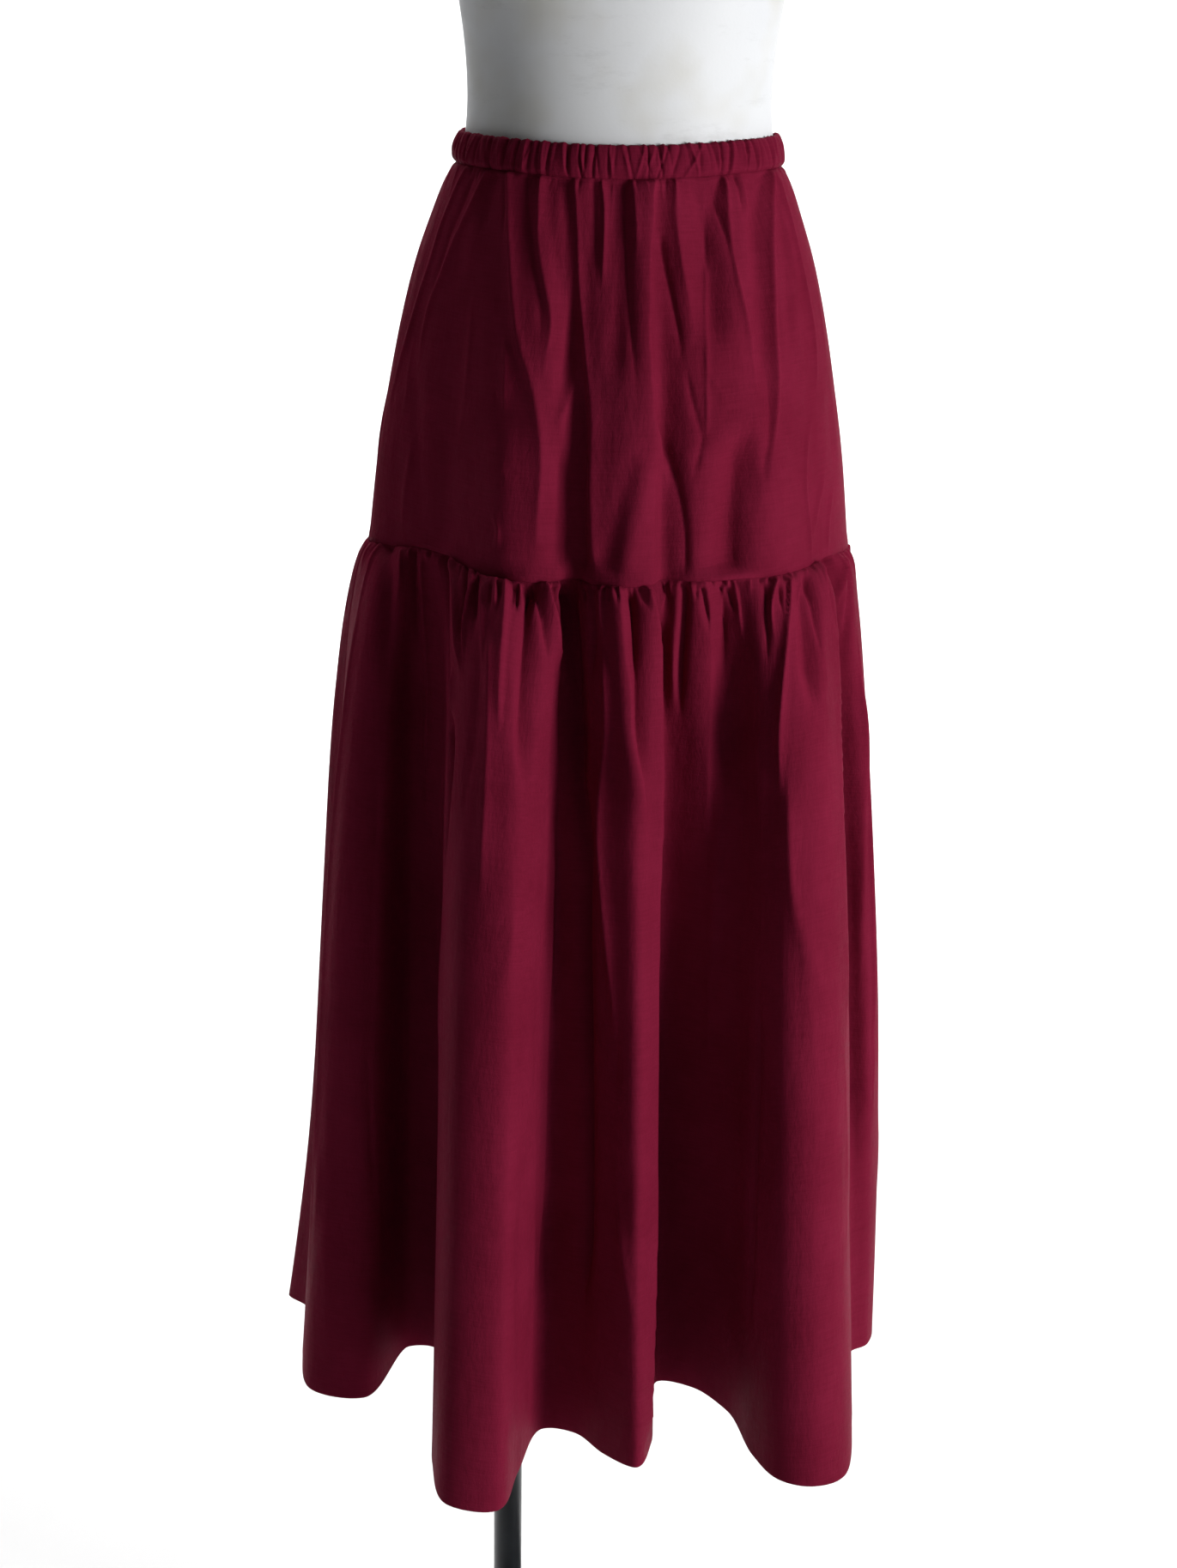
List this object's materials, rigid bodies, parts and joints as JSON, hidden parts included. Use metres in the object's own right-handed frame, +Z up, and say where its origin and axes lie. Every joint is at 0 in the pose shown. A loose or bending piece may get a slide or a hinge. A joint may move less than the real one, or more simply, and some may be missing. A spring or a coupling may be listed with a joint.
{
  "type": "tiered skirt on a limbless dress form",
  "caption": "Long tiered gathered skirt with an elastic waist, worn by a smooth limbless dress form on a pole with a round foot.",
  "frame": {"origin": "centre of the underside of the round foot, on the floor", "axes": "+Z up along the dress form, +X to the right of a viewer who faces the front of the skirt, -Y towards that viewer"},
  "size_m": [0.4933, 0.5184, 1.802],
  "materials": {
    "skirt_cloth": "burgundy plain weave, soft low sheen",
    "band_cloth": "burgundy plain weave gathered over elastic",
    "form_shell": "smooth off-white shell, half gloss",
    "stand_black": "black satin paint"
  },
  "bodies": {
    "root": {"waistband": "band_cloth", "upper_front": "skirt_cloth", "upper_back": "skirt_cloth", "lower_front": "skirt_cloth", "lower_back": "skirt_cloth", "form_torso": "form_shell", "stand_collar": "stand_black", "stand_pole": "stand_black", "stand_hub": "stand_black", "stand_foot": "stand_black"}
  },
  "joints": []
}
